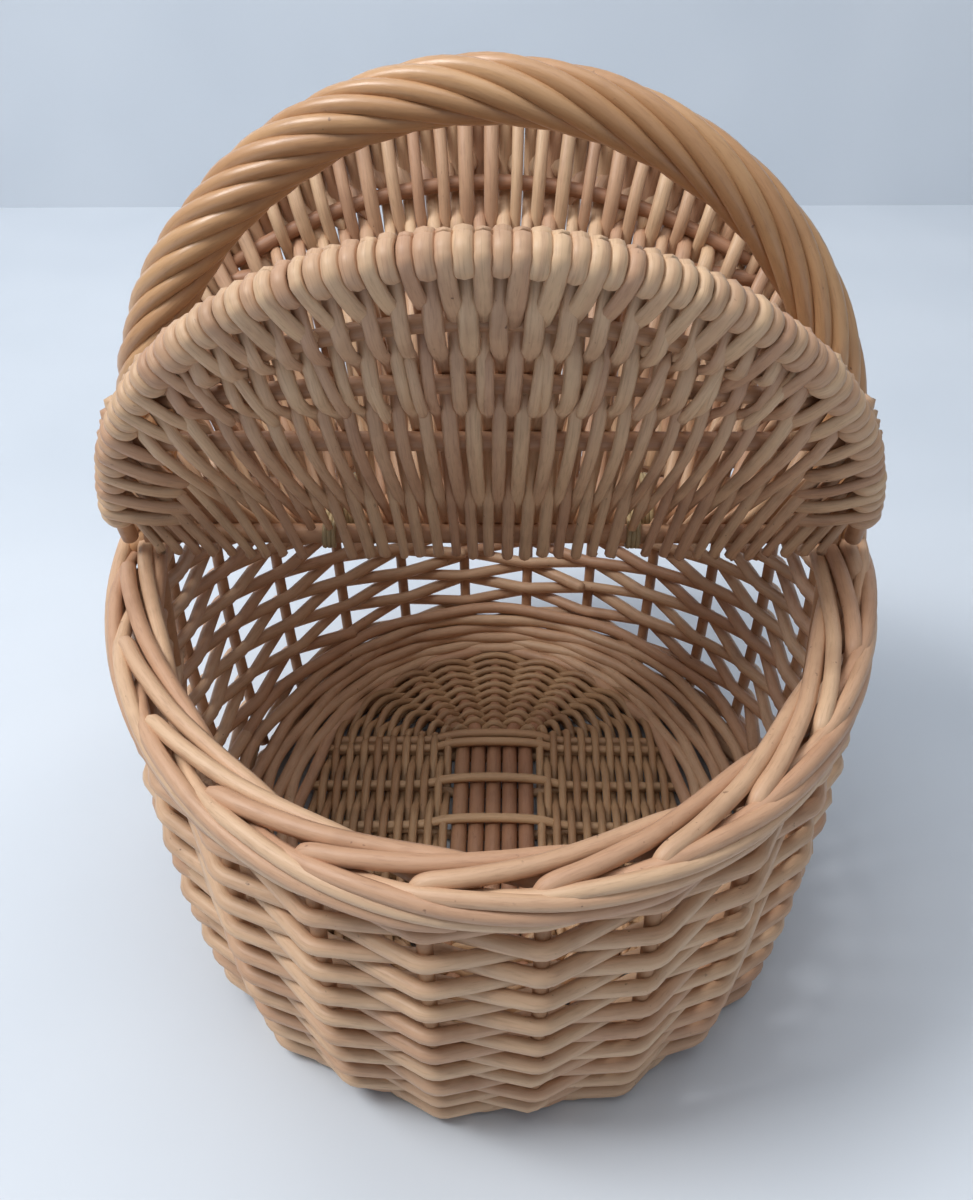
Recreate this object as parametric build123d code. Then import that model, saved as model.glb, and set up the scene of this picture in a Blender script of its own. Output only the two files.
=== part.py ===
from build123d import *
import os
from math import cos, pi, radians, sin, sqrt, tan

# Oval willow picnic basket with a roped arch handle and two lids hinged along the middle.
# Millimetres, +Z up, long axis along Y, front towards -Y, origin under the middle of the base.

# Rim border: an oval ring whose top dips in a straight slope from the handle to each end
rim_half_width = 180.0
rim_half_length = 224.0
border_width = 28.0
border_depth = 20.0
border_end_height = 184.0
border_rise = 22.0
border_split = 0.05

# Wall: a tapered oval that swells between its base and its rim
base_half_width = 156.0
base_half_length = 184.0
wall_setback = 4.0
wall_thickness = 16.0
wall_swell = 0.32
wall_levels = 6

# Stakes: the uprights that the wall is woven on
stake_count = 24
stake_diameter = 6.5
stake_clearance = 0.10

# Base: sticks with a slit for the long ones, a woven floor and a heavy bottom ring
wale_height = 12.0
wale_width = 20.0
floor_bottom = 4.5
floor_thickness = 8.0
base_stick_height = 8.5
long_stick_count = 5
long_stick_diameter = 9.0
long_stick_pitch = 9.4
cross_stick_width = 7.0
cross_stick_thickness = 8.0
slit_strap = 3.4
slit_slope = 14.0
slit_shoulder = 1.0
slit_clearance = 0.15
cross_stick_places = (-35.0, 0.0, 35.0)
pair_place = 71.0
pair_pitch = 7.3
base_clearance = 0.15

# Handle: a bent core stick whose legs run down inside the wall, and a roped sleeve over it
handle_top = 404.0
handle_core_diameter = 11.0
handle_sleeve_diameter = 28.0
handle_foot_diameter = 25.0
handle_foot_length = 26.0
handle_slant = -8.0
handle_leg_bottom = 112.0
handle_clearance = 0.10

# Middle bar and the ties that hang the lids on it
bar_diameter = 14.0
bar_seat_clearance = 0.05
bar_end_clearance = 0.10
tie_thickness = 2.4
tie_width = 8.0
tie_places = (-70.0, 70.0)
tie_pitch = 9.0
tie_bar_clearance = 0.05
tie_stick_clearance = 0.05
hinge_offset = 23.0

# Lids: half ovals, built flat, then raised to the angle that they are shown at
lid_half_width = 176.0
lid_depth = 190.0
lid_bow_diameter = 8.0
lid_wrap_diameter = 16.0
lid_wrap_clearance = 0.05
lid_corner = 3.0
lid_stick_diameter = 9.0
lid_cross_diameters = (9.0, 8.5, 8.0)
lid_cross_shares = (0.40, 0.61, 0.81)
lid_weave_thickness = 7.5
lid_clearance = 0.15
lid_notch_clearance = 0.50
front_lid_angle = 62.0
back_lid_angle = 60.0

# Worked out from the sizes above
border_top = border_end_height + border_rise
border_slope = border_rise / rim_half_length
wall_top_half_width = rim_half_width - wall_setback
wall_top_half_length = rim_half_length - wall_setback
hinge_height = border_top + bar_seat_clearance + bar_diameter / 2
low = (Align.CENTER, Align.CENTER, Align.MIN)
reach = 2 * max(rim_half_width, rim_half_length)


def save(name, *solids):
    shape = solids[0] if len(solids) == 1 else Compound(children=list(solids))
    export_step(shape, "parts/" + name + ".step")


def solids_of(shape):
    return list(shape.solids())


def rod(start, end, diameter):
    run = Vector(*end) - Vector(*start)
    return Plane(origin=start, z_dir=run) * Cylinder(diameter / 2, run.length, align=low)


def bent_rod(path, start, direction, diameter):
    return sweep(Plane(origin=start, z_dir=direction) * Circle(diameter / 2), path=path)


# Border and wall: levels and slopes

def border_height(y, drop=0.0):
    return border_top - border_slope * abs(y) - drop


def slope_block(side, drop, depth):
    """The space of one half of the rim, from `drop` under its top down through `depth`."""
    near = side * border_split
    far = side * reach
    outline = Polyline(
        (0, near, border_height(near, drop)),
        (0, far, border_height(far, drop)),
        (0, far, border_height(far, drop + depth)),
        (0, near, border_height(near, drop + depth)),
        close=True,
    )
    return extrude(make_face(outline), amount=reach, dir=(1, 0, 0), both=True)


def above_wall():
    """Everything over the underside of the border."""
    under = border_depth
    outline = Polyline(
        (0, 0, border_height(0, under)),
        (0, reach, border_height(reach, under)),
        (0, reach, reach + border_top),
        (0, -reach, reach + border_top),
        (0, -reach, border_height(reach, under)),
        close=True,
    )
    return extrude(make_face(outline), amount=reach, dir=(1, 0, 0), both=True)


def swell(z):
    """Share of the taper that is reached at a height: the wall bows outwards between its ends."""
    share = z / (border_top - border_depth)
    return share + 4 * wall_swell * share * (1 - share)


def wall_size(z, inset=0.0):
    half_width = base_half_width + (wall_top_half_width - base_half_width) * swell(z)
    half_length = base_half_length + (wall_top_half_length - base_half_length) * swell(z)
    return half_width - inset, half_length - inset


def oval_shell(inset):
    top = border_top
    heights = [wale_height + (top - wale_height) * i / wall_levels for i in range(wall_levels + 1)]
    rings = [Pos(0, 0, z) * Ellipse(*wall_size(z, inset)) for z in heights]
    return loft(rings, ruled=True)


# Handle: a circle whose ends run on into straight legs, down inside the wall

def wall_middle(z):
    return wall_size(z)[0] - wall_thickness / 2


def handle_arc():
    """Radius and centre height of the arch, and the point where it meets its right leg."""
    slant = radians(handle_slant)
    foot = wall_middle(border_top - border_depth)
    foot_height = border_top - border_depth
    climb = (handle_top - foot_height) * tan(slant)
    radius = (foot + climb) / (cos(slant) + (1 + sin(slant)) * tan(slant))
    centre = handle_top - radius
    joint = (radius * cos(slant), 0, centre - radius * sin(slant))
    return radius, centre, joint


def leg_point(z):
    """Middle of the right leg above the rim: with a minus slant it leans inwards as it rises."""
    joint = handle_arc()[2]
    return joint[0] - (joint[2] - z) * tan(radians(handle_slant)), 0, z


def handle_path(bottom):
    joint = handle_arc()[2]
    right = leg_point(bottom)
    left = (-right[0], 0, bottom)
    left_joint = (-joint[0], 0, joint[2])
    arch = ThreePointArc(left_joint, (0, 0, handle_top), joint)
    return Line(left, left_joint) + arch + Line(joint, right), left


def handle_leg(side):
    """The part of the core inside the border and the wall, from its bottom to the rim."""
    x, y, z = leg_point(border_top)
    bottom = (side * wall_middle(handle_leg_bottom), 0, handle_leg_bottom)
    return bottom, (side * x, y, z)


def leg_bore(side):
    bottom, top = handle_leg(side)
    bore = handle_core_diameter + 2 * handle_clearance
    knee = leg_point(border_top - bore)
    over = leg_point(border_top + bore)
    bend = rod((side * knee[0], 0, knee[2]), (side * over[0], 0, over[2]), bore)
    return rod(bottom, top, bore) + bend


def make_handle():
    path, start = handle_path(border_top)
    lean = (-sin(radians(handle_slant)), 0, cos(radians(handle_slant)))
    core = bent_rod(path, start, lean, handle_core_diameter)
    for side in (-1, 1):
        core = core + rod(*handle_leg(side), handle_core_diameter)
    sleeve = bent_rod(path, start, lean, handle_sleeve_diameter)
    bore = bent_rod(path, start, lean, handle_core_diameter + 2 * handle_clearance)
    slack = Pos(0, 0, border_top + bar_seat_clearance) * Box(
        reach, reach, border_depth, align=(Align.CENTER, Align.CENTER, Align.MAX)
    )
    sleeve = sleeve - bore - slack
    for side in (-1, 1):
        sleeve = sleeve - slim_foot(side)
    save("handle_bow", core)
    save("handle_wrap", sleeve)


def slim_foot(side):
    """What is cut from the sleeve's foot, where it narrows to pass the corners of the lids."""
    wide = 3 * handle_sleeve_diameter
    block = Box(wide, wide, 2 * handle_foot_length)
    place = Pos(side * leg_point(border_top)[0], 0, border_top) * Rot(0, side * handle_slant, 0)
    return place * (block - Cylinder(handle_foot_diameter / 2, 3 * handle_foot_length))


# Rim border in two halves

def make_border():
    ring = Ellipse(rim_half_width, rim_half_length)
    hole = Ellipse(rim_half_width - border_width, rim_half_length - border_width)
    tube = extrude(ring - hole, amount=border_top + border_depth)
    for side, name in ((-1, "border_front"), (1, "border_back")):
        half = tube & slope_block(side, 0.0, border_depth)
        for leg in (-1, 1):
            half = half - leg_bore(leg)
        save(name, half)


# Wall panels and the stakes between them

def stake_plane(index):
    """Where a stake stands round the oval: the cosine and sine of its angle."""
    angle = 2 * pi * (index + 0.5) / stake_count
    return cos(angle), sin(angle)


def stake_point(index, z):
    across, along = stake_plane(index)
    half_width, half_length = wall_size(z, wall_thickness / 2)
    return Vector(half_width * across, half_length * along, z)


def make_stakes(lid_of_wall):
    middle = (wale_height + border_top) / 2
    for index in range(stake_count):
        foot = stake_point(index, wale_height)
        top = stake_point(index, border_top)
        arc = ThreePointArc(foot, stake_point(index, middle), top)
        ring = Plane(origin=foot, z_dir=arc % 0) * Circle(stake_diameter / 2)
        under = Pos(foot.X, foot.Y, 0) * Box(
            3 * stake_diameter, 3 * stake_diameter, 2 * wale_height
        )
        stake = sweep(ring, path=arc) - lid_of_wall - under
        save("side_stake_%02d" % (index + 1), stake)


def make_wall(lid_of_wall):
    wall = oval_shell(0.0) - oval_shell(wall_thickness) - lid_of_wall
    for index in range(stake_count):
        wall = wall - stake_slot(index)
    for side in (-1, 1):
        wall = wall - leg_bore(side)
    save("side_weave", *solids_of(wall))


def stake_slot(index):
    """A slot through the wall on one side only, around one stake."""
    foot = stake_point(index, wale_height)
    top = stake_point(index, border_top)
    run = Vector(top.X - foot.X, top.Y - foot.Y, 0)
    plane = Plane(origin=(foot.X, foot.Y, 0), x_dir=run, z_dir=(0, 0, 1))
    width = stake_diameter + 2 * stake_clearance
    length = 2 * (run.length + wall_thickness) + 2 * wall_thickness
    return plane * Box(length, width, 2 * reach)


# Base

def make_wale():
    ring = Ellipse(base_half_width, base_half_length)
    hole = Ellipse(base_half_width - wale_width, base_half_length - wale_width)
    save("bottom_wale", extrude(ring - hole, amount=wale_height))


def floor_oval(height):
    inset = wale_width + base_clearance
    return extrude(Ellipse(base_half_width - inset, base_half_length - inset), amount=height)


def bunch_half_width():
    return (long_stick_count - 1) / 2 * long_stick_pitch + long_stick_diameter / 2


def cross_stick(place):
    """A stick slit in its middle third, whose two halves pass over and under the long sticks."""
    half = base_half_width - wale_width
    slit = bunch_half_width() + slit_clearance
    flat = slit + slit_shoulder
    end = flat + slit_slope
    thin = cross_stick_thickness / 2
    gap = long_stick_diameter / 2 + slit_clearance
    thick = gap + slit_strap
    upper = [(-half, thin), (-end, thin), (-flat, thick), (flat, thick), (end, thin), (half, thin)]
    lower = [(x, -z) for x, z in reversed(upper)]
    outline = Plane.XZ * make_face(Polyline(*upper, *lower, close=True))
    window = Plane.XZ * Rectangle(2 * slit, 2 * gap)
    body = extrude(outline, amount=cross_stick_width / 2, both=True)
    body = body - extrude(window, amount=cross_stick_width, both=True)
    placed = Pos(0, place, base_stick_height) * body
    return placed & floor_oval(2 * wale_height)


def make_base_sticks():
    places = cross_stick_places
    for number, place in enumerate(places, 1):
        save("base_cross_stick_%d" % number, cross_stick(place))
    for side, name in ((-1, "base_cross_pair_front"), (1, "base_cross_pair_back")):
        pair = [cross_stick(side * pair_place + k * pair_pitch / 2) for k in (-1, 1)]
        save(name, *pair)
    for number in range(long_stick_count):
        x = (number - (long_stick_count - 1) / 2) * long_stick_pitch
        inset = wale_width + base_clearance
        share = sqrt(1 - ((abs(x) + long_stick_diameter / 2) / (base_half_width - inset)) ** 2)
        end = (base_half_length - inset) * share
        ends = ((x, -end, base_stick_height), (x, end, base_stick_height))
        save("base_long_stick_%d" % (number + 1), rod(*ends, long_stick_diameter))


def make_floor():
    floor = floor_oval(floor_bottom + floor_thickness) - floor_oval(floor_bottom)
    bunch = Box(2 * (bunch_half_width() + base_clearance), reach, reach)
    floor = floor - bunch
    slot = cross_stick_width + 2 * base_clearance
    for place in cross_stick_places:
        floor = floor - Pos(0, place, 0) * Box(reach, slot, reach)
    for side in (-1, 1):
        wide = slot + pair_pitch
        floor = floor - Pos(0, side * pair_place, 0) * Box(reach, wide, reach)
    save("base_weave", *solids_of(floor))


# Middle bar and ties

def make_bar():
    end = leg_point(hinge_height)[0] - handle_foot_diameter / 2 / cos(radians(handle_slant))
    end = end - bar_end_clearance - bar_diameter / 2 * abs(tan(radians(handle_slant)))
    save("hinge_bar", rod((-end, 0, hinge_height), (end, 0, hinge_height), bar_diameter))


def tie(place, side):
    """A band twisted once round the bar and once round the hinge stick of a lid."""
    bar_bore = bar_diameter / 2 + tie_bar_clearance
    stick_bore = lid_stick_diameter / 2 + tie_stick_clearance
    bar_ring = Circle(bar_bore + tie_thickness)
    stick_ring = Pos(side * hinge_offset, 0) * Circle(stick_bore + tie_thickness)
    web = Pos(side * hinge_offset / 2, 0) * Rectangle(hinge_offset, 2 * stick_bore)
    outline = bar_ring + stick_ring + web
    outline = outline - Circle(bar_bore) - Pos(side * hinge_offset, 0) * Circle(stick_bore)
    return Plane(origin=(place, 0, hinge_height), x_dir=(0, 1, 0), z_dir=(1, 0, 0)) * extrude(
        outline, amount=tie_width / 2, both=True
    )


def tie_place(place, side):
    return place + side * tie_pitch / 2


def make_ties():
    for side, name in ((-1, "front_lid_ties"), (1, "back_lid_ties")):
        save(name, *[tie(tie_place(place, side), side) for place in tie_places])


# Lids

def lid_frame(side):
    angle = front_lid_angle if side < 0 else back_lid_angle
    return Pos(0, side * hinge_offset, hinge_height) * Rot(side * angle, 0, 0)


def lid_bow_size():
    inset = lid_wrap_diameter / 2
    return lid_half_width - inset, lid_depth - inset


def bow_tube(side, diameter):
    half_width, depth = lid_bow_size()
    first = side * half_width
    start = (first, -side * lid_corner, 0)
    leg = Line(start, (first, 0, 0))
    start_angle = 90 - side * 90
    bend = EllipticalCenterArc((0, 0), half_width, depth, start_angle, arc_size=180)
    other_leg = Line((-first, 0, 0), (-first, -side * lid_corner, 0))
    path = leg + bend + other_leg
    return bent_rod(path, start, (0, side, 0), diameter)


def lid_inside(thickness):
    """The half oval inside the wrapped bow."""
    half_width, depth = lid_bow_size()
    inset = lid_wrap_diameter / 2 + lid_clearance
    oval = Ellipse(half_width - inset, depth - inset)
    return extrude(oval, amount=thickness / 2, both=True)


def lid_cross_stick(side, share, diameter):
    place = side * share * lid_bow_size()[1]
    stick = rod((-lid_half_width, place, 0), (lid_half_width, place, 0), diameter)
    return stick & lid_inside(2 * diameter)


def lid_weave(side):
    depth = lid_bow_size()[1]
    start = lid_stick_diameter / 2 + lid_clearance
    keep = Pos(0, side * (start + reach / 2), 0) * Box(reach, reach, reach)
    weave = lid_inside(lid_weave_thickness) & keep
    for share, diameter in zip(lid_cross_shares, lid_cross_diameters):
        slot = diameter + 2 * lid_clearance
        weave = weave - Pos(0, side * share * depth, 0) * Box(reach, slot, reach)
    notch = lid_stick_diameter / 2 + tie_stick_clearance + tie_thickness + lid_notch_clearance
    for place in tie_places:
        wide = tie_width + 2 * lid_notch_clearance
        cut = Box(wide, 2 * notch, reach)
        weave = weave - Pos(tie_place(place, side), 0, 0) * cut
    return solids_of(weave)


def make_lid(side, name):
    frame = lid_frame(side)
    bow = bow_tube(side, lid_bow_diameter)
    wrap = bow_tube(side, lid_wrap_diameter)
    wrap = wrap - bow_tube(side, lid_bow_diameter + 2 * lid_wrap_clearance)
    save(name + "_bow", frame * bow)
    save(name + "_rim_wrap", frame * wrap)
    end = lid_bow_size()[0] - lid_wrap_diameter / 2 - lid_clearance
    save(name + "_hinge_stick", frame * rod((-end, 0, 0), (end, 0, 0), lid_stick_diameter))
    for number, share in enumerate(lid_cross_shares):
        stick = lid_cross_stick(side, share, lid_cross_diameters[number])
        save(name + "_cross_stick_%d" % (number + 1), frame * stick)
    save(name + "_weave", *[frame * strip for strip in lid_weave(side)])


os.makedirs("parts", exist_ok=True)
over_wall = above_wall()
make_wale()
make_base_sticks()
make_floor()
make_stakes(over_wall)
make_wall(over_wall)
make_border()
make_handle()
make_bar()
make_ties()
make_lid(-1, "front_lid")
make_lid(1, "back_lid")
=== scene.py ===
import random
from math import cos, exp, pi, radians, sin, sqrt, tan

import bmesh
import bpy
from mathutils import Matrix, Vector


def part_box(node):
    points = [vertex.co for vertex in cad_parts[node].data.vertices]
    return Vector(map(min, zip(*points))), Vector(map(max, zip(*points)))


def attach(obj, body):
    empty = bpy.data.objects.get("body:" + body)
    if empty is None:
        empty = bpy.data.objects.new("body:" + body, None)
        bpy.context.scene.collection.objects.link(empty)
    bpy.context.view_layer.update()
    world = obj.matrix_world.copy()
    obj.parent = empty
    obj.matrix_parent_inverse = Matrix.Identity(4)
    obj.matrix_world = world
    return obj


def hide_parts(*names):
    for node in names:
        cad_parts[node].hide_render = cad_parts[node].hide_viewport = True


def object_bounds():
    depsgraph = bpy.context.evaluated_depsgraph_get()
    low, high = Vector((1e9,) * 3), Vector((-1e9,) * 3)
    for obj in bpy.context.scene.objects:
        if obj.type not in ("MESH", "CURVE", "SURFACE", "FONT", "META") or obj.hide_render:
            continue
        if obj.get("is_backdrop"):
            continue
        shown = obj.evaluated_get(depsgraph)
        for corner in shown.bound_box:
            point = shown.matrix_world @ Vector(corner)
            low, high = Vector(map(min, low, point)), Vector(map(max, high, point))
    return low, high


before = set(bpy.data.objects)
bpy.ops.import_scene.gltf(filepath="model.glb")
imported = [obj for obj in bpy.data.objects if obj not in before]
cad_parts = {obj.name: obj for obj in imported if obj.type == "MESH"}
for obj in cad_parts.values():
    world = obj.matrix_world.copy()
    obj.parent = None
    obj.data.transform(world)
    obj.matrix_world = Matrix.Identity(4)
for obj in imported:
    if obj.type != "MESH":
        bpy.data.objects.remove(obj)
cad_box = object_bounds()


# The stakes and the wall woven on them: stiff uprights pushed in beside the base sticks, and rows
# of buff willow rods that pass in front of one stake and behind the next, with every row the
# other way round from the one below. The wall is an oval that swells between base and rim.
rim_low, rim_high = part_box("border_front")
wale_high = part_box("bottom_wale")[1]
rim_half_width = rim_high.x
rim_half_length = -rim_low.y
rim_top = rim_high.z
border_depth = 0.020
border_width = 0.028
rim_rise = 0.022
wall_setback = 0.004
wall_thickness = 0.016
wall_swell = 0.32
stake_count = 24
stake_turn = 2 * pi / stake_count
wall_rows = 20
wall_rod = 0.0078
wall_weave = 0.0053
wall_foot = 0.0085
wall_middle = 0.1
wall_taper = (0.80, 0.92)
tuck_depth = 0.0042
rods_per_row = 3
rod_span = stake_count // rods_per_row
kink_shares = (0.0, 0.06, 0.35, 0.65, 0.94)
kink_reach = 1.14
row_sway = 0.0006
row_lean = 0.0007
tuck_points = 4
tuck_pitch = 0.1
seed = random.Random(41)


def swell(z):
    """How far out the wall is at a height, from 0 at its foot to 1 under the border."""
    share = z / (rim_top - border_depth)
    return share + 4 * wall_swell * share * (1 - share)


def wall_size(z):
    """Half width and half length of the middle of the wall at a height."""
    width = wale_high.x + (rim_half_width - wall_setback - wale_high.x) * swell(z)
    length = wale_high.y + (rim_half_length - wall_setback - wale_high.y) * swell(z)
    return width - wall_thickness / 2, length - wall_thickness / 2


def oval_normal(angle, size):
    return Vector((cos(angle) * size[1], sin(angle) * size[0], 0)).normalized()


def oval_point(angle, size, out=0.0):
    """A point on an oval, moved outwards along its normal in plan."""
    return Vector((size[0] * cos(angle), size[1] * sin(angle), 0)) + oval_normal(angle, size) * out


def rim_height(y, drop=0.0):
    """The rim's top, which falls from the handle to both ends, or a height below it."""
    return rim_top - rim_rise * abs(y) / rim_half_length - drop


def row_height(row, y):
    """Rows lie evenly between the bottom wale and the border, which rises to the handle."""
    high = rim_height(y, border_depth) - wall_rod * 0.3
    return wall_foot + (high - wall_foot) * row / (wall_rows - 1)


def row_point(row, angle, wobble):
    """A point on a row: straight from stake to stake, outside one and inside the next."""
    place = angle / stake_turn - 0.5 + 1e-6
    before = int(place // 1)
    share = place - before
    flat = row_height(row, wall_size(wall_middle)[1] * sin(angle))
    size = wall_size(flat)
    start = oval_point((before + 0.5) * stake_turn, size)
    end = oval_point((before + 1.5) * stake_turn, size)
    base = start.lerp(end, share)
    side = 1 if (before + row) % 2 else -1
    wave = max(-1.0, min(1.0, kink_reach * (1 - 2 * share)))
    base += oval_normal(angle, size) * (wall_weave * side * wave)
    base.z = flat + wobble * sin(3 * angle + row) + row_lean * side * wave
    return base


def smooth_path(points, steps):
    """Points along a soft curve through the given ones."""
    ends = [points[0] * 2 - points[1]] + points + [points[-1] * 2 - points[-2]]
    path = []
    for a, b, c, d in zip(ends, ends[1:], ends[2:], ends[3:]):
        for i in range(steps):
            t = i / steps
            curve = 2 * b + (c - a) * t + (2 * a - 5 * b + 4 * c - d) * t * t
            path.append((curve + (3 * b - a - 3 * c + d) * t ** 3) * 0.5)
    return path + [points[-1]]


def new_bundle():
    """A mesh that rods are laid into, with a map whose U numbers the rod and V runs along it."""
    bundle = bmesh.new()
    bundle.loops.layers.uv.new("along")
    return bundle


wrap_length = 0.075
wrap_lead = 0.015
cut_end = 0.75
pointed_end = 0.2


def lay_rod(bundle, path, thick, thin=None, sides=8, blunt=(True, True), flat=(1.0, 1.0), wide=None):
    """One rod: a flat sheet rolled round a path, thinner towards its tip, with closed ends.

    Where it is flat, wide has the directions of its width at its foot and near its tip: it turns
    from one to the other over the wrap's lead, which starts a wrap's length before the tip.
    """
    thin = thick if thin is None else thin
    rings = len(path)
    uv = bundle.loops.layers.uv.verify()
    number = seed.randrange(1, 400)
    lengths = [0.0]
    for a, b in zip(path, path[1:]):
        lengths.append(lengths[-1] + (b - a).length)
    sheet = bmesh.ops.create_grid(bundle, x_segments=sides, y_segments=rings - 1, size=0.5)["verts"]
    place = {v: (round((v.co.x + 0.5) * sides), round((v.co.y + 0.5) * (rings - 1))) for v in sheet}
    faces = {f for v in sheet for f in v.link_faces}
    for face in faces:
        face.smooth = True
        for loop in face.loops:
            turn, ring = place[loop.vert]
            loop[uv].uv = (number + 0.999 * turn / sides, lengths[ring])
    frames = []
    across = None
    for i in range(rings):
        run = (path[min(i + 1, rings - 1)] - path[max(i - 1, 0)]).normalized()
        if wide:
            turned = (lengths[i] - lengths[-1] + wrap_length) / wrap_lead
            across = wide[0].lerp(wide[1], min(1.0, max(0.0, turned)))
        elif across is None:
            across = run.orthogonal()
        across = (across - run * across.dot(run)).normalized()
        frames.append((across.copy(), run.cross(across)))
    for v in sheet:
        turn, ring = place[v]
        share = lengths[ring] / lengths[-1]
        radius = (thick + (thin - thick) * share) / 2
        if (ring == 0 and blunt[0]) or (ring == rings - 1 and blunt[1]):
            radius *= cut_end
        elif ring in (0, rings - 1):
            radius *= pointed_end
        angle = 2 * pi * turn / sides
        side, top = frames[ring]
        spread = radius * (flat[0] + (flat[1] - flat[0]) * share)
        v.co = path[ring] + side * (spread * cos(angle)) + top * (radius * sin(angle))
    seam = [v for v in sheet if place[v][0] in (0, sides)]
    bmesh.ops.remove_doubles(bundle, verts=seam, dist=1e-7)
    rims = {e for f in faces if f.is_valid for e in f.edges if e.is_boundary}
    ends = bmesh.ops.holes_fill(bundle, edges=list(rims), sides=sides)["faces"]
    for face in ends:
        face.material_index = 1


def finish_bundle(bundle, name, body, *nodes, slot):
    """Make a bundle of rods one piece, which takes the place of the plain nodes."""
    bmesh.ops.recalc_face_normals(bundle, faces=bundle.faces[:])
    mesh = bpy.data.meshes.new(name)
    bundle.to_mesh(mesh)
    bundle.free()
    piece = bpy.data.objects.new(name, mesh)
    bpy.context.collection.objects.link(piece)
    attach(piece, body)
    if nodes:
        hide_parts(*nodes)
    return piece


class Tone:
    """A shader value that Python's operators work on."""

    def __init__(self, tree, socket):
        self.tree = tree
        self.socket = socket

    def work(self, kind, *others):
        """A Math node on this value and the others."""
        node = self.tree.nodes.new("ShaderNodeMath")
        node.operation = kind
        for slot, value in zip(node.inputs, (self, *others)):
            if isinstance(value, Tone):
                self.tree.links.new(value.socket, slot)
            else:
                slot.default_value = value
        return Tone(self.tree, node.outputs[0])

    def __add__(self, other):
        return self.work("ADD", other)

    def __mul__(self, other):
        return self.work("MULTIPLY", other)

    __radd__ = __add__
    __rmul__ = __mul__


class Recipe:
    """The nodes of one material, or of the room."""

    def __init__(self, owner):
        self.owner = owner
        owner.use_nodes = True
        self.tree = owner.node_tree
        self.tree.nodes.clear()

    def node(self, kind, settings=None, inputs=None, out=0):
        """A node of a kind, with its settings, and values or links for its sockets."""
        node = self.tree.nodes.new(kind)
        for key, value in (settings or {}).items():
            setattr(node, key, value)
        for key, value in (inputs or {}).items():
            if isinstance(value, Tone):
                self.tree.links.new(value.socket, node.inputs[key])
            else:
                node.inputs[key].default_value = value
        return Tone(self.tree, node.outputs[out]) if node.outputs else None

    def mix(self, amount, first, second):
        settings = {"data_type": "RGBA", "blend_type": "MIX", "clamp_factor": True}
        return self.node("ShaderNodeMix", settings, {0: amount, 6: first, 7: second}, out=2)

    def noise(self, vector, scale, detail=3.0, rough=0.55):
        inputs = {"Vector": vector, "Scale": scale, "Detail": detail, "Roughness": rough}
        return self.node("ShaderNodeTexNoise", None, inputs)

    def band(self, value, low, high):
        """From 0 at the low value to 1 at the high one."""
        inputs = {"Value": value, "From Min": low, "From Max": high}
        return self.node("ShaderNodeMapRange", {"clamp": True}, inputs)


def shade(red, green, blue):
    """A colour that is given as it looks on a screen, 0 to 255."""
    return tuple(((v / 255 + 0.055) / 1.055) ** 2.4 for v in (red, green, blue)) + (1.0,)


speck_brown = shade(92, 60, 42)


def willow(name, light, ruddy, dark, gloss=0.48, rods=True, coat=0.0):
    """Peeled willow: a colour for each rod, streaks along it, blotches, specks and a soft sheen."""
    recipe = Recipe(bpy.data.materials.new(name))
    solid = recipe.node("ShaderNodeTexCoord", out=3)
    if rods:
        along = recipe.node("ShaderNodeUVMap", {"uv_map": "along"})
        turn = recipe.node("ShaderNodeSeparateXYZ", None, {0: along})
        run = Tone(recipe.tree, turn.socket.node.outputs[1])
        rod = turn.work("FLOOR")
        kind = recipe.node("ShaderNodeTexWhiteNoise", {"noise_dimensions": "1D"}, {"W": rod})
        angle = turn * (2 * pi)
        round_x, round_y = angle.work("COSINE"), angle.work("SINE")
        parts = {0: round_x, 1: round_y, 2: run * 14 + rod * 3.7}
        skin = recipe.node("ShaderNodeCombineXYZ", None, parts)
        fine_parts = {0: round_x * 1.6, 1: round_y * 1.6, 2: run * 45 + rod * 5.1}
        streak_skin = recipe.node("ShaderNodeCombineXYZ", None, fine_parts)
        speck_parts = {0: round_x, 1: round_y, 2: run * 260 + rod * 2.3}
        speck_skin = recipe.node("ShaderNodeCombineXYZ", None, speck_parts)
        streaks = recipe.noise(streak_skin, 2.4, 4.0, 0.6)
        specks = recipe.noise(speck_skin, 1.1, 2.0, 0.5)
        patches = recipe.noise(skin, 1.0, 2.0, 0.5)
    else:
        kind = recipe.noise(solid, 24.0, 1.0, 0.4)
        streaks = recipe.noise(solid, 190.0, 4.0, 0.6)
        specks = recipe.noise(solid, 420.0, 2.0, 0.5)
        patches = recipe.noise(solid, 60.0, 2.0, 0.5)
    blotch = recipe.noise(solid, 34.0, 3.0, 0.55)
    colour = recipe.mix(recipe.band(kind, 0.25, 0.95) * 0.75, light, ruddy)
    colour = recipe.mix(recipe.band(patches, 0.46, 0.72) * 0.45, colour, ruddy)
    colour = recipe.mix(recipe.band(blotch, 0.52, 0.78) * 0.40, colour, dark)
    colour = recipe.mix(recipe.band(streaks, 0.50, 0.74) * 0.34, colour, dark)
    spot = recipe.band(specks, 0.70, 0.76) * recipe.band(blotch, 0.42, 0.60)
    colour = recipe.mix(spot * 0.75, colour, speck_brown)
    rough = streaks * 0.22 + (gloss - 0.08)
    relief = streaks * 0.6 + patches * 0.4
    bump = recipe.node("ShaderNodeBump", None, {"Strength": 0.25, "Distance": 0.0008, "Height": relief})
    inputs = {
        "Base Color": colour,
        "Roughness": rough,
        "Normal": bump,
        "Coat Weight": coat,
        "Coat Roughness": 0.28,
    }
    shader = recipe.node("ShaderNodeBsdfPrincipled", None, inputs)
    recipe.node("ShaderNodeOutputMaterial", None, {"Surface": shader})
    return recipe.owner


def paint(piece, *materials):
    """Give a piece its materials: the willow's skin, and the pith of the cut ends."""
    piece.data.materials.clear()
    for material in materials:
        piece.data.materials.append(material)


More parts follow.
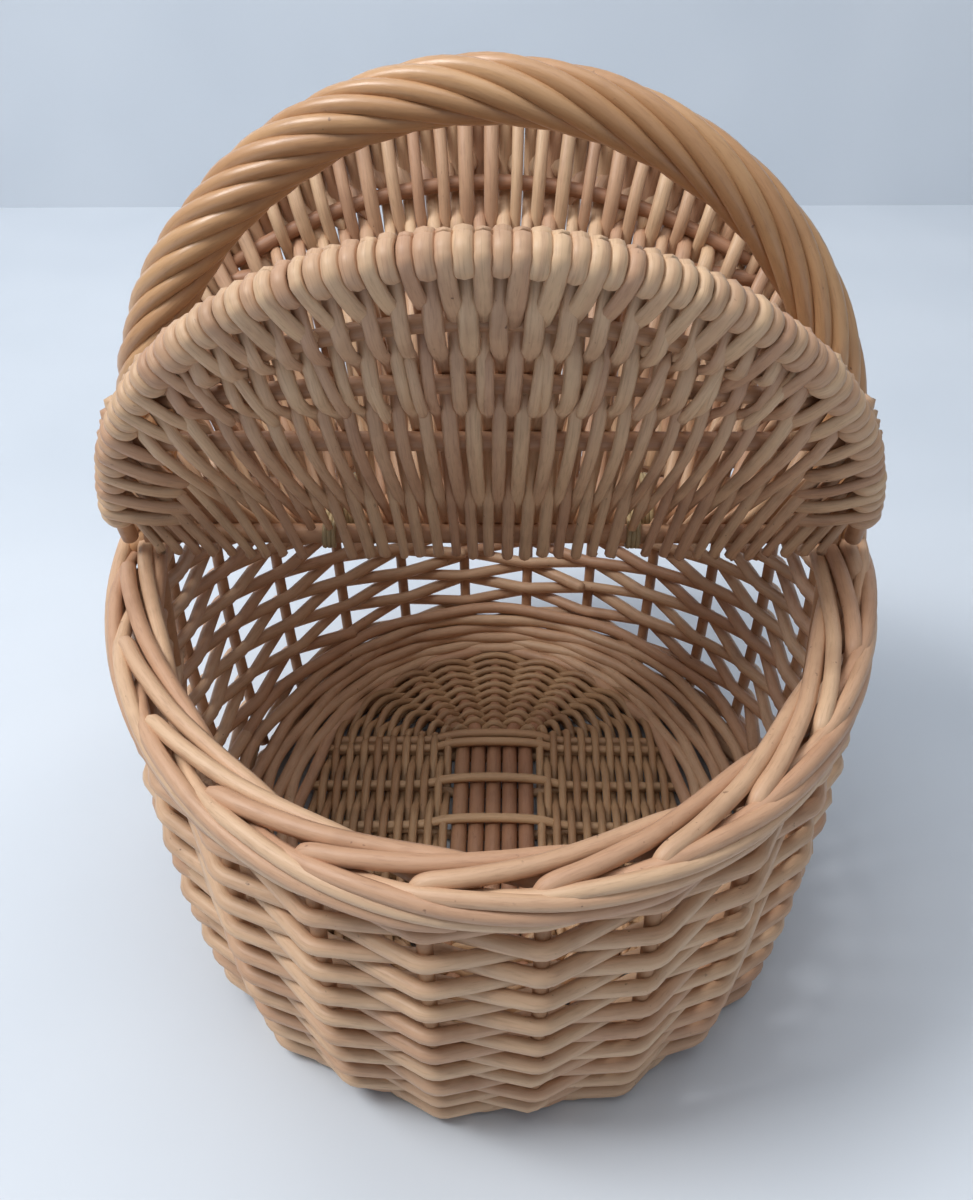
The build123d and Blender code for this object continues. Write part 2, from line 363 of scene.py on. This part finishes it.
pith = willow(
    "pale_pith", shade(226, 205, 172), shade(205, 176, 140), shade(150, 118, 88), 0.7, rods=False
)
wall_willow = willow("wall_willow", shade(214, 179, 145), shade(192, 148, 118), shade(146, 106, 80))
stick_willow = willow(
    "stick_willow", shade(190, 148, 112), shade(164, 118, 88), shade(118, 80, 58), rods=False
)
for number in range(1, stake_count + 1):
    paint(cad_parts["side_stake_%02d" % number], stick_willow)

wall = new_bundle()
for row in range(wall_rows):
    start = seed.randrange(stake_count)
    for part in range(rods_per_row):
        first = start + part * rod_span
        wobble = seed.uniform(-row_sway, row_sway)
        places = [i + share for i in range(rod_span) for share in kink_shares]
        places += [rod_span + tuck_pitch * i for i in range(tuck_points)]
        path = [row_point(row, (first + 0.5 + place) * stake_turn, wobble) for place in places]
        # Both ends are tucked in behind a stake.
        for k in range(tuck_points):
            for end in (k, -1 - k):
                inward = -Vector((path[end].x, path[end].y, 0)).normalized()
                path[end] += inward * tuck_depth * (1 - k / tuck_points)
        lay_rod(wall, path, wall_rod, wall_rod * seed.uniform(*wall_taper))

# The lowest rounds inside lie sloping, from the edge of the floor up to the wall.
skirt_rounds = 7
skirt_first = (0.1080, 0.1660)
skirt_last = (0.1530, 0.1790)
skirt_foot = 0.0105
skirt_rise = 0.030
skirt_weave = 0.0014
skirt_sway = 0.0008
skirt_steps = 96
skirt_lap = 0.06
for ring in range(skirt_rounds):
    share = (ring + 0.5) / skirt_rounds
    size = (
        skirt_first[0] + (skirt_last[0] - skirt_first[0]) * share,
        skirt_first[1] + (skirt_last[1] - skirt_first[1]) * share,
    )
    for half in range(2):
        path = []
        for i in range(skirt_steps + 1):
            angle = pi * half + (pi + skirt_lap) * i / skirt_steps + ring
            wave = skirt_weave * cos(angle * stake_count / 2 + pi * ring)
            point = oval_point(angle, size, wave)
            point.z = skirt_foot + skirt_rise * share ** 1.6 + skirt_sway * sin(5 * angle + ring)
            path.append(point)
        lay_rod(wall, path, wall_rod * 0.98, wall_rod * 0.92)
side_weave = finish_bundle(wall, "woven_wall", "basket", "side_weave", slot="willow_weave")
paint(side_weave, wall_willow, pith)


# The bottom wale: three willow rods twisted round one another at the foot of the stakes, which
# they hold at their distances. It is the edge that the basket stands on.
wale_strands = 3
wale_rod = 0.0068
wale_lay = (0.00435, 0.0029)
wale_height = 0.0066
wale_inset = 0.010
wale_turns = 12
wale_steps = 72
wale_lap = 0.08
wale_size = (wale_high.x - wale_inset, wale_high.y - wale_inset)
wale = new_bundle()
for strand in range(wale_strands):
    for half in range(2):
        path = []
        for i in range(wale_steps + 1):
            angle = pi * half + (pi + wale_lap) * i / wale_steps
            twist = angle * wale_turns + 2 * pi * strand / wale_strands
            point = oval_point(angle, wale_size, wale_lay[0] * cos(twist))
            point.z = wale_height + wale_lay[1] * sin(twist)
            path.append(point)
        lay_rod(wale, path, wale_rod, wale_rod * 0.95)
bottom_wale = finish_bundle(wale, "twisted_wale", "basket", "bottom_wale", slot="willow_weave")
paint(bottom_wale, wall_willow, pith)


# The border: every stake is bent over at the top, runs to the right over the rim to its inner
# edge, ducks under its neighbours and comes out again along the outer edge, in a plait.
border_rod = 0.0077
border_stray = 0.0008
border_lift = 0.0006
border_size = (rim_half_width - border_width / 2, rim_half_length - border_width / 2)
# A stake's run, each corner by how many stakes on it lies, and how far out and up from the middle.
border_plait = (
    (-0.10, 0.0045, -0.0110),
    (-0.04, 0.0050, 0.0000),
    (0.06, 0.0042, 0.0044),
    (0.40, 0.0015, 0.0056),
    (1.00, -0.0035, 0.0053),
    (1.60, -0.0082, 0.0038),
    (2.20, -0.0102, 0.0014),
    (2.80, -0.0072, -0.0032),
    (3.30, -0.0002, -0.0040),
    (3.80, 0.0062, 0.0006),
    (4.40, 0.0094, 0.0034),
    (5.20, 0.0110, 0.0000),
    (6.00, 0.0110, -0.0046),
    (6.80, 0.0098, -0.0090),
    (7.30, 0.0072, -0.0112),
)
border = new_bundle()
for stake in range(stake_count):
    angle = (stake + 0.5) * stake_turn
    stray = seed.uniform(-border_stray, border_stray)
    lift = seed.uniform(-border_lift, border_lift)
    corners = []
    for along, out, up in border_plait:
        around = angle + along * stake_turn
        point = oval_point(around, border_size, out + stray)
        point.z = rim_height(point.y, border_depth / 2) + up + lift
        corners.append(point)
    path = smooth_path(corners, 5)
    thick = border_rod * seed.uniform(0.94, 1.06)
    lay_rod(border, path, thick, thick * 0.86)
plaited_border = finish_bundle(
    border, "plaited_border", "basket", "border_front", "border_back", slot="willow_weave"
)
paint(plaited_border, wall_willow, pith)


# The handle: a thick bent stick, roped over with willow rods that wind round it from one foot to
# the other. The rods lie steeply at the left foot and run out long on the right.
handle_strands = 8
handle_rod = 0.0086
handle_lay = 0.0095
handle_sway = 0.0005
handle_slant = radians(-8)
handle_half = 0.014
handle_sunk = 0.016
handle_steps = 110
handle_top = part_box("handle_wrap")[1].z - handle_half
foot_height = rim_top - border_depth
handle_foot = wall_size(foot_height)[0]
handle_radius = (handle_foot + (handle_top - foot_height) * tan(handle_slant)) / (
    cos(handle_slant) + (1 + sin(handle_slant)) * tan(handle_slant)
)
handle_centre = handle_top - handle_radius
leg_joint = Vector(
    (handle_radius * cos(handle_slant), 0, handle_centre - handle_radius * sin(handle_slant))
)


def handle_frame(share):
    """Middle of the handle and its outward direction, from 0 at the left foot to 1 at the right."""
    leg = (leg_joint.z - rim_top) / cos(handle_slant) + handle_sunk
    arc = handle_radius * (pi + 2 * handle_slant)
    run = share * (arc + 2 * leg)
    if run < leg:
        out = Vector((-cos(handle_slant), 0, -sin(handle_slant)))
        down = Vector((sin(handle_slant), 0, -cos(handle_slant)))
        return Vector((-leg_joint.x, 0, leg_joint.z)) + down * (leg - run), out
    if run > leg + arc:
        out = Vector((cos(handle_slant), 0, -sin(handle_slant)))
        down = Vector((-sin(handle_slant), 0, -cos(handle_slant)))
        return leg_joint + down * (run - leg - arc), out
    angle = pi + handle_slant - (run - leg) / handle_radius
    out = Vector((cos(angle), 0, sin(angle)))
    return Vector((0, 0, handle_centre)) + out * handle_radius, out


def lay_angle(share):
    """How far the rods lean from the handle's run, from the left foot to the right."""
    return radians(31 - 28 * share + 9 * share * share)


def foot_swell(share):
    """The rope is a little thicker at its feet, where the rods come up out of the border."""
    return 1 + 0.03 * exp(-40 * share) + 0.04 * exp(-40 * (1 - share))


rope = new_bundle()
for strand in range(handle_strands):
    twist = 2 * pi * strand / handle_strands
    thick = handle_rod * seed.uniform(0.9, 1.08)
    path = []
    for i in range(handle_steps + 1):
        share = i / handle_steps
        middle, out = handle_frame(share)
        if i:
            twist += tan(lay_angle(share)) * (middle - before).length / handle_lay
        before = middle
        reach = (handle_lay + handle_sway * sin(5 * share + strand)) * foot_swell(share)
        path.append(middle + out * (reach * cos(twist)) + Vector((0, -1, 0)) * (reach * sin(twist)))
    lay_rod(rope, path, thick, thick * 0.95, sides=10)
roped_handle = finish_bundle(rope, "roped_handle", "basket", "handle_wrap", slot="willow_glossy")
handle_willow = willow(
    "handle_willow", shade(206, 164, 120), shade(186, 140, 100), shade(142, 98, 68), 0.34, coat=0.25
)
paint(roped_handle, handle_willow, pith)
for node in ("handle_bow", "hinge_bar"):
    paint(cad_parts[node], stick_willow)


# The lids: a bent bow and four sticks across it, woven over and under with thin rods that fan out
# from the hinge stick, turn over the bow and go back into the weave.
# The flat lid's half width and depth at the bow, and then the rods: their thickness at foot and
# tip, how much wider than thick they are, and how far they spread along the hinge and the bow.
lid_bow_width = 0.168
lid_bow_depth = 0.182
lid_weavers = 77
lid_rod = (0.0043, 0.0045)
lid_flat = (1.14, 1.62)
lid_spread = 0.154
lid_fan = radians(84)
lid_fan_curve = 1.35
# The hinge stick and the sticks across, each by its share of the lid's depth and by its arch.
lid_cross = ((0.0, 0.0), (0.40, 0.0), (0.61, 0.006), (0.81, 0.022))
cross_thick = (0.0090, 0.0085, 0.0080)
cross_inside = 0.93
cross_steps = 24
lid_wave = 0.0064
lid_stray = 0.0008
arch_place = 0.095
bow_radius = 0.0040
bow_room = 0.014
tail_lean = 0.072
tail_reach = (0.028, 0.042)
tail_fan = 0.06
# The turn over the bow, in half turns: 0 is behind the bow and 1 is in front of it.
over_bow = (0.08, 0.32, 0.5, 0.68, 0.92)
curl_under = (1.14, 1.36)
lid_joins = 11
join_spread = 0.72
tie_places = (-0.070, 0.070)
tie_step = 0.0045
tie_room = 0.0070
tied_start = 0.0095
free_start = (0.0045, 0.0085)
lid_thick = (0.86, 1.18)
tail_sag = 0.0010
join_start = (0.009, 0.014)
join_slant = 0.18
join_course = ((0.0, 0.0, 1.08), (0.4, 0.014, 1.12), (1.0, 0.032, 0.1))
join_thick = (1.0, 1.25)
lid_willow = willow("lid_willow", shade(214, 180, 144), shade(184, 140, 112), shade(122, 84, 64))
long_willow = willow("long_willow", shade(186, 144, 110), shade(158, 112, 86), shade(112, 76, 56))
hinges = {"front_lid": (-1, radians(62)), "back_lid": (1, radians(60))}


def lid_place(lid, across, depth, lift):
    """From a flat lid to its raised place: across the hinge, out from it and up from its face."""
    side, angle = hinges[lid]
    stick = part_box(lid + "_hinge_stick")
    hinge = (stick[0] + stick[1]) / 2
    out = Vector((0, side * cos(angle), sin(angle)))
    up = Vector((0, -side * sin(angle), cos(angle)))
    return Vector((across, hinge.y, hinge.z)) + out * depth + up * lift


def bow_point(angle):
    """A point on the bow of a flat lid, at an angle from the middle of its round edge."""
    return Vector((lid_bow_width * sin(angle), lid_bow_depth * cos(angle), 0))


def stick_depth(part, arch, across):
    """How far out from the hinge an arched cross stick lies, at a place across the lid."""
    return part * lid_bow_depth - arch * (across / arch_place) ** 2


def inside_bow(across, depth):
    """How near a place of the flat lid is to the bow: 0 at the middle of the hinge, 1 at the bow."""
    return (across / lid_bow_width) ** 2 + (depth / lid_bow_depth) ** 2


def stick_reach(part, arch):
    """How far across the lid an arched stick runs before it meets the bow."""
    reach = lid_bow_width
    while inside_bow(reach, stick_depth(part, arch, reach)) > cross_inside:
        reach -= 0.001
    return reach


def lid_path(points, lid):
    """A soft curve through points of the flat lid, on the raised one."""
    return [lid_place(lid, p.x, p.y, p.z) for p in smooth_path(points, 4)]


def turn_over_bow(angle, tail):
    """Up behind the bow and over it, then along the lower face, or curled under where tail is 0."""
    middle = bow_point(angle)
    outward = Vector((sin(angle) / lid_bow_width, cos(angle) / lid_bow_depth, 0)).normalized()
    reach = bow_radius + lid_rod[1] / 2
    turn = []
    for step in over_bow if tail else over_bow + curl_under:
        swing = pi * (step - 0.5)
        turn.append(middle + outward * (reach * cos(swing)) - Vector((0, 0, reach * sin(swing))))
    if tail:
        lean = tail_lean * max(-1.0, min(1.0, middle.x / tail_fan))
        inward = (Vector((middle.x - lean, 0.0, 0.0)) - middle).normalized()
        edge = turn[-1]
        turn.append(edge + inward * tail * 0.5 + Vector((0, 0, tail_sag)))
        turn.append(edge + inward * tail + Vector((0, 0, reach)))
    return turn


for lid in hinges:
    weave = new_bundle()
    for j in range(lid_weavers):
        share = 2 * j / (lid_weavers - 1) - 1
        foot = lid_spread * share
        angle = lid_fan * share
        side = 1 if j % 2 else -1
        top = bow_point(angle)
        nearest = min(abs(foot - place - hinges[lid][0] * tie_step) for place in tie_places)
        tied = nearest < tie_room
        start = tied_start if tied else -seed.uniform(*free_start)
        points = [Vector((foot, start, side * lid_wave * (0.5 if tied else 0.95)))]
        last = side
        for number, (part, arch) in enumerate(lid_cross):
            if tied and number == 0:
                continue
            across = foot + (top.x - foot) * part ** lid_fan_curve
            depth = stick_depth(part, arch, across)
            if depth > top.y - bow_room:
                break
            along = max(depth, 0.0) / top.y
            across = foot + (top.x - foot) * along ** lid_fan_curve
            across += seed.uniform(-lid_stray, lid_stray)
            last = -side if number % 2 else side
            points.append(Vector((across, depth, last * lid_wave)))
        tail = seed.uniform(*tail_reach) if last > 0 else 0
        points += turn_over_bow(angle, tail)
        thick = seed.uniform(*lid_thick)
        path = lid_path(points, lid)
        tangent = Vector((cos(angle) * lid_bow_width, -sin(angle) * lid_bow_depth, 0))
        bow_way = lid_place(lid, tangent.x, tangent.y, 0) - lid_place(lid, 0, 0, 0)
        wide = (Vector((1, 0, 0)), bow_way.normalized())
        sizes = (lid_rod[0] * thick, lid_rod[1] * thick)
        lay_rod(weave, path, *sizes, blunt=(True, False), flat=lid_flat, wide=wide)
    # Where a rod runs out, the next one starts: its cut end stands out below the weave.
    for number in range(lid_joins):
        share = (number + seed.uniform(0.2, 0.8)) / lid_joins
        across = lid_spread * join_spread * (2 * share - 1)
        start = stick_depth(*lid_cross[2], across) - seed.uniform(*join_start)
        slant = across * join_slant
        points = []
        for lean, run, low in join_course:
            points.append(Vector((across + slant * lean, start + run, -lid_wave * low)))
        thick = lid_rod[0] * seed.uniform(*join_thick)
        lay_rod(weave, lid_path(points, lid), thick, thick * 0.9, blunt=(True, False))
    piece = finish_bundle(
        weave, "woven_" + lid, lid, lid + "_weave", lid + "_rim_wrap", slot="willow_lid"
    )
    paint(piece, lid_willow, pith)
    sticks = new_bundle()
    for (part, arch), thick in zip(lid_cross[1:], cross_thick):
        reach = stick_reach(part, arch)
        places = [reach * (2 * i / cross_steps - 1) for i in range(cross_steps + 1)]
        path = [lid_place(lid, x, stick_depth(part, arch, x), 0) for x in places]
        lay_rod(sticks, path, thick, thick * 0.92)
    plain = [lid + "_cross_stick_%d" % number for number in (1, 2, 3)]
    arched = finish_bundle(sticks, "arched_sticks_" + lid, lid, *plain, slot="willow_rod")
    paint(arched, long_willow, pith)
    for node in ("_bow", "_hinge_stick"):
        paint(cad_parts[lid + node], stick_willow)


# The ties: a split willow twisted in figures of eight round the middle bar and the lid's hinge
# stick, which is all that the lids turn on.
tie_rod = 0.0026
tie_turns = 3
tie_width = 0.0060
tie_steps = 28
tie_bend = pi * 1.3
tie_starts = (pi * 0.35, pi * -0.65)
tie_willow = willow("tie_willow", shade(176, 156, 118), shade(150, 128, 92), shade(112, 92, 66))
bar_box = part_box("hinge_bar")
bar_radius = (bar_box[1].z - bar_box[0].z) / 2
bar_height = (bar_box[1].z + bar_box[0].z) / 2
for lid, (side, _) in hinges.items():
    ties = new_bundle()
    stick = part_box(lid + "_hinge_stick")
    gap = abs((stick[0].y + stick[1].y) / 2)
    stick_radius = (stick[1].z - stick[0].z) / 2
    for place in tie_places:
        path = []
        for i in range(tie_steps * tie_turns + 1):
            turn = i / tie_steps
            across = place + side * tie_step + tie_width * (turn / tie_turns - 0.5)
            swing = (turn % 1) * 2
            if swing < 1:
                angle = tie_starts[0] + swing * tie_bend
                reach = bar_radius + tie_rod / 2
                y, z = reach * cos(angle), reach * sin(angle)
            else:
                angle = tie_starts[1] + (swing - 1) * tie_bend
                reach = stick_radius + tie_rod / 2
                y, z = gap + reach * cos(angle), reach * sin(angle)
            path.append(Vector((across, side * y, bar_height + z)))
        lay_rod(ties, path, tie_rod, tie_rod, sides=6)
    piece = finish_bundle(ties, "tied_" + lid, "basket", lid + "_ties", slot="willow_tie")
    paint(piece, tie_willow, pith)


# The woven floor: five long sticks that fan out at their ends lie through the slits of thin cross
# sticks, and thin rods go round and round them, straight along the sides of the basket, in a
# zigzag over and under the fanned sticks at both ends.
floor_rod = 0.0050
floor_height = 0.0085
floor_step = 0.0042
floor_first = 0.0275
floor_edge = 0.1070
floor_reach = (0.0880, 0.1600)
floor_straight = 0.076
floor_weave = 0.0046
long_rod = 0.0092
long_pitch = 0.0094
long_ends = {0: 0.160, 1: 0.152, 2: 0.138}
cross_rod = 0.0050
cross_pitch = 0.0355
cross_places = (-0.0748, -0.0675, -0.035, 0.0, 0.035, 0.0675, 0.0748)
slit_rise = {1: 0.0066, -1: 0.0052}
floor_steps = 24
turn_steps = 48
fan_start = 0.075
fan_length = 0.085
fan_spread = 2.7
fan_curve = 1.2
cross_over = 0.004
cross_round = 0.20
floor_willow = willow("floor_willow", shade(190, 154, 116), shade(166, 126, 92), shade(114, 82, 60))


def long_fan(y):
    """How many times wider the long sticks lie than at the middle of the basket."""
    return 1 + fan_spread * max(0.0, (abs(y) - fan_start) / fan_length) ** fan_curve


floor = new_bundle()
rounds = int((floor_edge - floor_first) / floor_step)
for ring in range(rounds + 1):
    half = floor_first + ring * floor_step
    reach = floor_reach[0] + (floor_reach[1] - floor_reach[0]) * ring / rounds
    straight = floor_straight * sqrt(max(0.0, 1 - 0.5 * (half / floor_edge) ** 4))
    phase = ring % 2 * pi
    for end in (-1, 1):
        path = []
        for i in range(floor_steps + 1):
            y = -straight + 2 * straight * i / floor_steps
            lift = floor_weave * cos(pi * y / cross_pitch + phase)
            path.append(Vector((end * half, end * y, floor_height + lift)))
        first = straight / cross_pitch
        turns = [pi * i / turn_steps for i in range(1, turn_steps + 1)]
        places = [(half * cos(t), straight + (reach - straight) * sin(t) ** 0.8) for t in turns]
        # Its ups and downs are counted on from the side, so that it is up or down at each stick.
        counts = [x / (long_pitch * long_fan(y)) for x, y in places]
        reached = next(i for i, count in enumerate(counts) if count < 2)
        for i, (x, y) in enumerate(places):
            if i < reached:
                count = first + (4 - first) * i / reached
            elif counts[i] > -2:
                count = 6 - counts[i]
            else:
                count = 8 + (4 - first) * (1 - (turn_steps - 1 - i) / (reached + 1))
            lift = floor_weave * cos(pi * count + phase)
            path.append(Vector((end * x, end * y, floor_height + lift)))
        lay_rod(floor, path, floor_rod, floor_rod * 0.94, sides=6)
woven_floor = finish_bundle(floor, "woven_floor", "basket", "base_weave", slot="willow_floor")
paint(woven_floor, floor_willow, pith)

sticks = new_bundle()
for stick in range(-2, 3):
    limit = long_ends[abs(stick)]
    path = []
    for i in range(turn_steps + 1):
        y = limit * (2 * i / turn_steps - 1)
        path.append(Vector((stick * long_pitch * long_fan(y), y, floor_height)))
    lay_rod(sticks, path, long_rod, long_rod * 0.96, sides=10)
long_nodes = ["base_long_stick_%d" % number for number in range(1, 6)]
long_sticks = finish_bundle(sticks, "fanned_sticks", "basket", *long_nodes, slot="willow_rod")
paint(long_sticks, long_willow, pith)

# Each cross stick is slit in two, and its halves part round the long sticks. Their course is
# given from one end to the middle, by its share of the width and of the rise.
slit_course = ((-1.0, 0.12), (-0.62, 0.14), (-0.38, 0.24), (-0.22, 0.92), (0.0, 1.12))
slit_flat = (1.25, 1.25)
slit_bend = 0.0008
slit_ways = (Vector((0, 1, 0)), Vector((0, 1, 0)))
slit_willow = willow("slit_willow", shade(206, 170, 130), shade(186, 145, 108), shade(140, 102, 74))
slits = new_bundle()
for place in cross_places:
    width = (floor_edge + cross_over) * sqrt(1 - (place / cross_round) ** 2)
    for face in (-1, 1):
        corners = [(across * width, lift * slit_rise[face] * face) for across, lift in slit_course]
        corners += [(-across, lift) for across, lift in corners[-2::-1]]
        bend = seed.uniform(-slit_bend, slit_bend)
        points = [Vector((x, place + bend, floor_height + lift)) for x, lift in corners]
        path = smooth_path(points, 4)
        lay_rod(slits, path, cross_rod, cross_rod * 0.92, flat=slit_flat, wide=slit_ways)
cross_nodes = [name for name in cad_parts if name.startswith("base_cross")]
slit_sticks = finish_bundle(slits, "slit_sticks", "basket", *cross_nodes, slot="willow_rod")
paint(slit_sticks, slit_willow, pith)


# The stage: a pale cloth on a table in front of a pale wall, a large soft lamp from the upper
# left and a camera that looks down on the basket from in front.
stage_size = 3.0
wall_distance = 1.2
cloth = Recipe(bpy.data.materials.new("pale_cloth"))
spot = cloth.node("ShaderNodeTexCoord", out=3)
cloud = cloth.noise(spot, 3.0, 2.0)
tint = cloth.mix(cloth.band(cloud, 0.3, 0.7), shade(206, 214, 223), shade(216, 223, 231))
surface = cloth.node("ShaderNodeBsdfPrincipled", None, {"Base Color": tint, "Roughness": 0.9})
cloth.node("ShaderNodeOutputMaterial", None, {"Surface": surface})


def stage_sheet(name, place):
    """A flat sheet of cloth, which is no piece of the basket."""
    sheet = bmesh.new()
    bmesh.ops.create_grid(sheet, x_segments=1, y_segments=1, size=stage_size, matrix=place)
    mesh = bpy.data.meshes.new(name)
    sheet.to_mesh(mesh)
    sheet.free()
    piece = bpy.data.objects.new(name, mesh)
    bpy.context.collection.objects.link(piece)
    piece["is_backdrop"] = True
    paint(piece, cloth.owner)


standing = Matrix.Translation((0, wall_distance, 0)) @ Matrix.Rotation(pi / 2, 4, "X")
stage_sheet("pale_floor", Matrix.Identity(4))
stage_sheet("pale_backdrop", standing)

world = bpy.data.worlds.new("room")
bpy.context.scene.world = world
room = Recipe(world)
seen = room.node("ShaderNodeLightPath")
glow = {"Color": shade(214, 222, 234), "Strength": seen * 0.6 + 0.26}
air = room.node("ShaderNodeBackground", None, glow)
room.node("ShaderNodeOutputWorld", None, {"Surface": air})


def lamp(name, size, power, place, target):
    light = bpy.data.lights.new(name, "AREA")
    light.size = size
    light.energy = power
    lamp_object = bpy.data.objects.new(name, light)
    lamp_object.location = place
    lamp_object.rotation_euler = (Vector(target) - Vector(place)).to_track_quat("-Z", "Y").to_euler()
    bpy.context.collection.objects.link(lamp_object)


lamp("window", 1.0, 50.0, (-1.5, -0.5, 2.35), (0, 0, 0.15))
lamp("sky", 2.2, 24.0, (0.0, -0.35, 2.4), (0, 0.1, 0))
lamp("fill", 1.6, 1.5, (0.9, -1.4, 1.0), (0, 0, 0.15))

# The camera, as it was fitted to the outline: its focal length in pixels of a picture of this
# height, its turns, and where it stands.
focal = 1322.4
image_height = 1200
film = 36.0
camera_place = (0.00969, -0.55218, 0.52221)
pitch, yaw, roll = radians(33.17), radians(-1.24), radians(-0.53)
forward = Vector((sin(yaw) * cos(pitch), cos(yaw) * cos(pitch), -sin(pitch)))
level = Vector((cos(yaw), -sin(yaw), 0))
upright = level.cross(forward)
right = level * cos(roll) + upright * sin(roll)
top = upright * cos(roll) - level * sin(roll)
camera = bpy.data.cameras.new("camera")
camera.sensor_width = film
camera.lens = focal * film / image_height
camera_object = bpy.data.objects.new("camera", camera)
axes = Matrix((right, top, -forward)).transposed().to_4x4()
camera_object.matrix_world = Matrix.Translation(camera_place) @ axes
bpy.context.collection.objects.link(camera_object)
bpy.context.scene.camera = camera_object
bpy.context.scene.view_settings.view_transform = "Standard"

sizes = {"cad": [list(c) for c in cad_box], "visual": [list(c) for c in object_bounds()]}
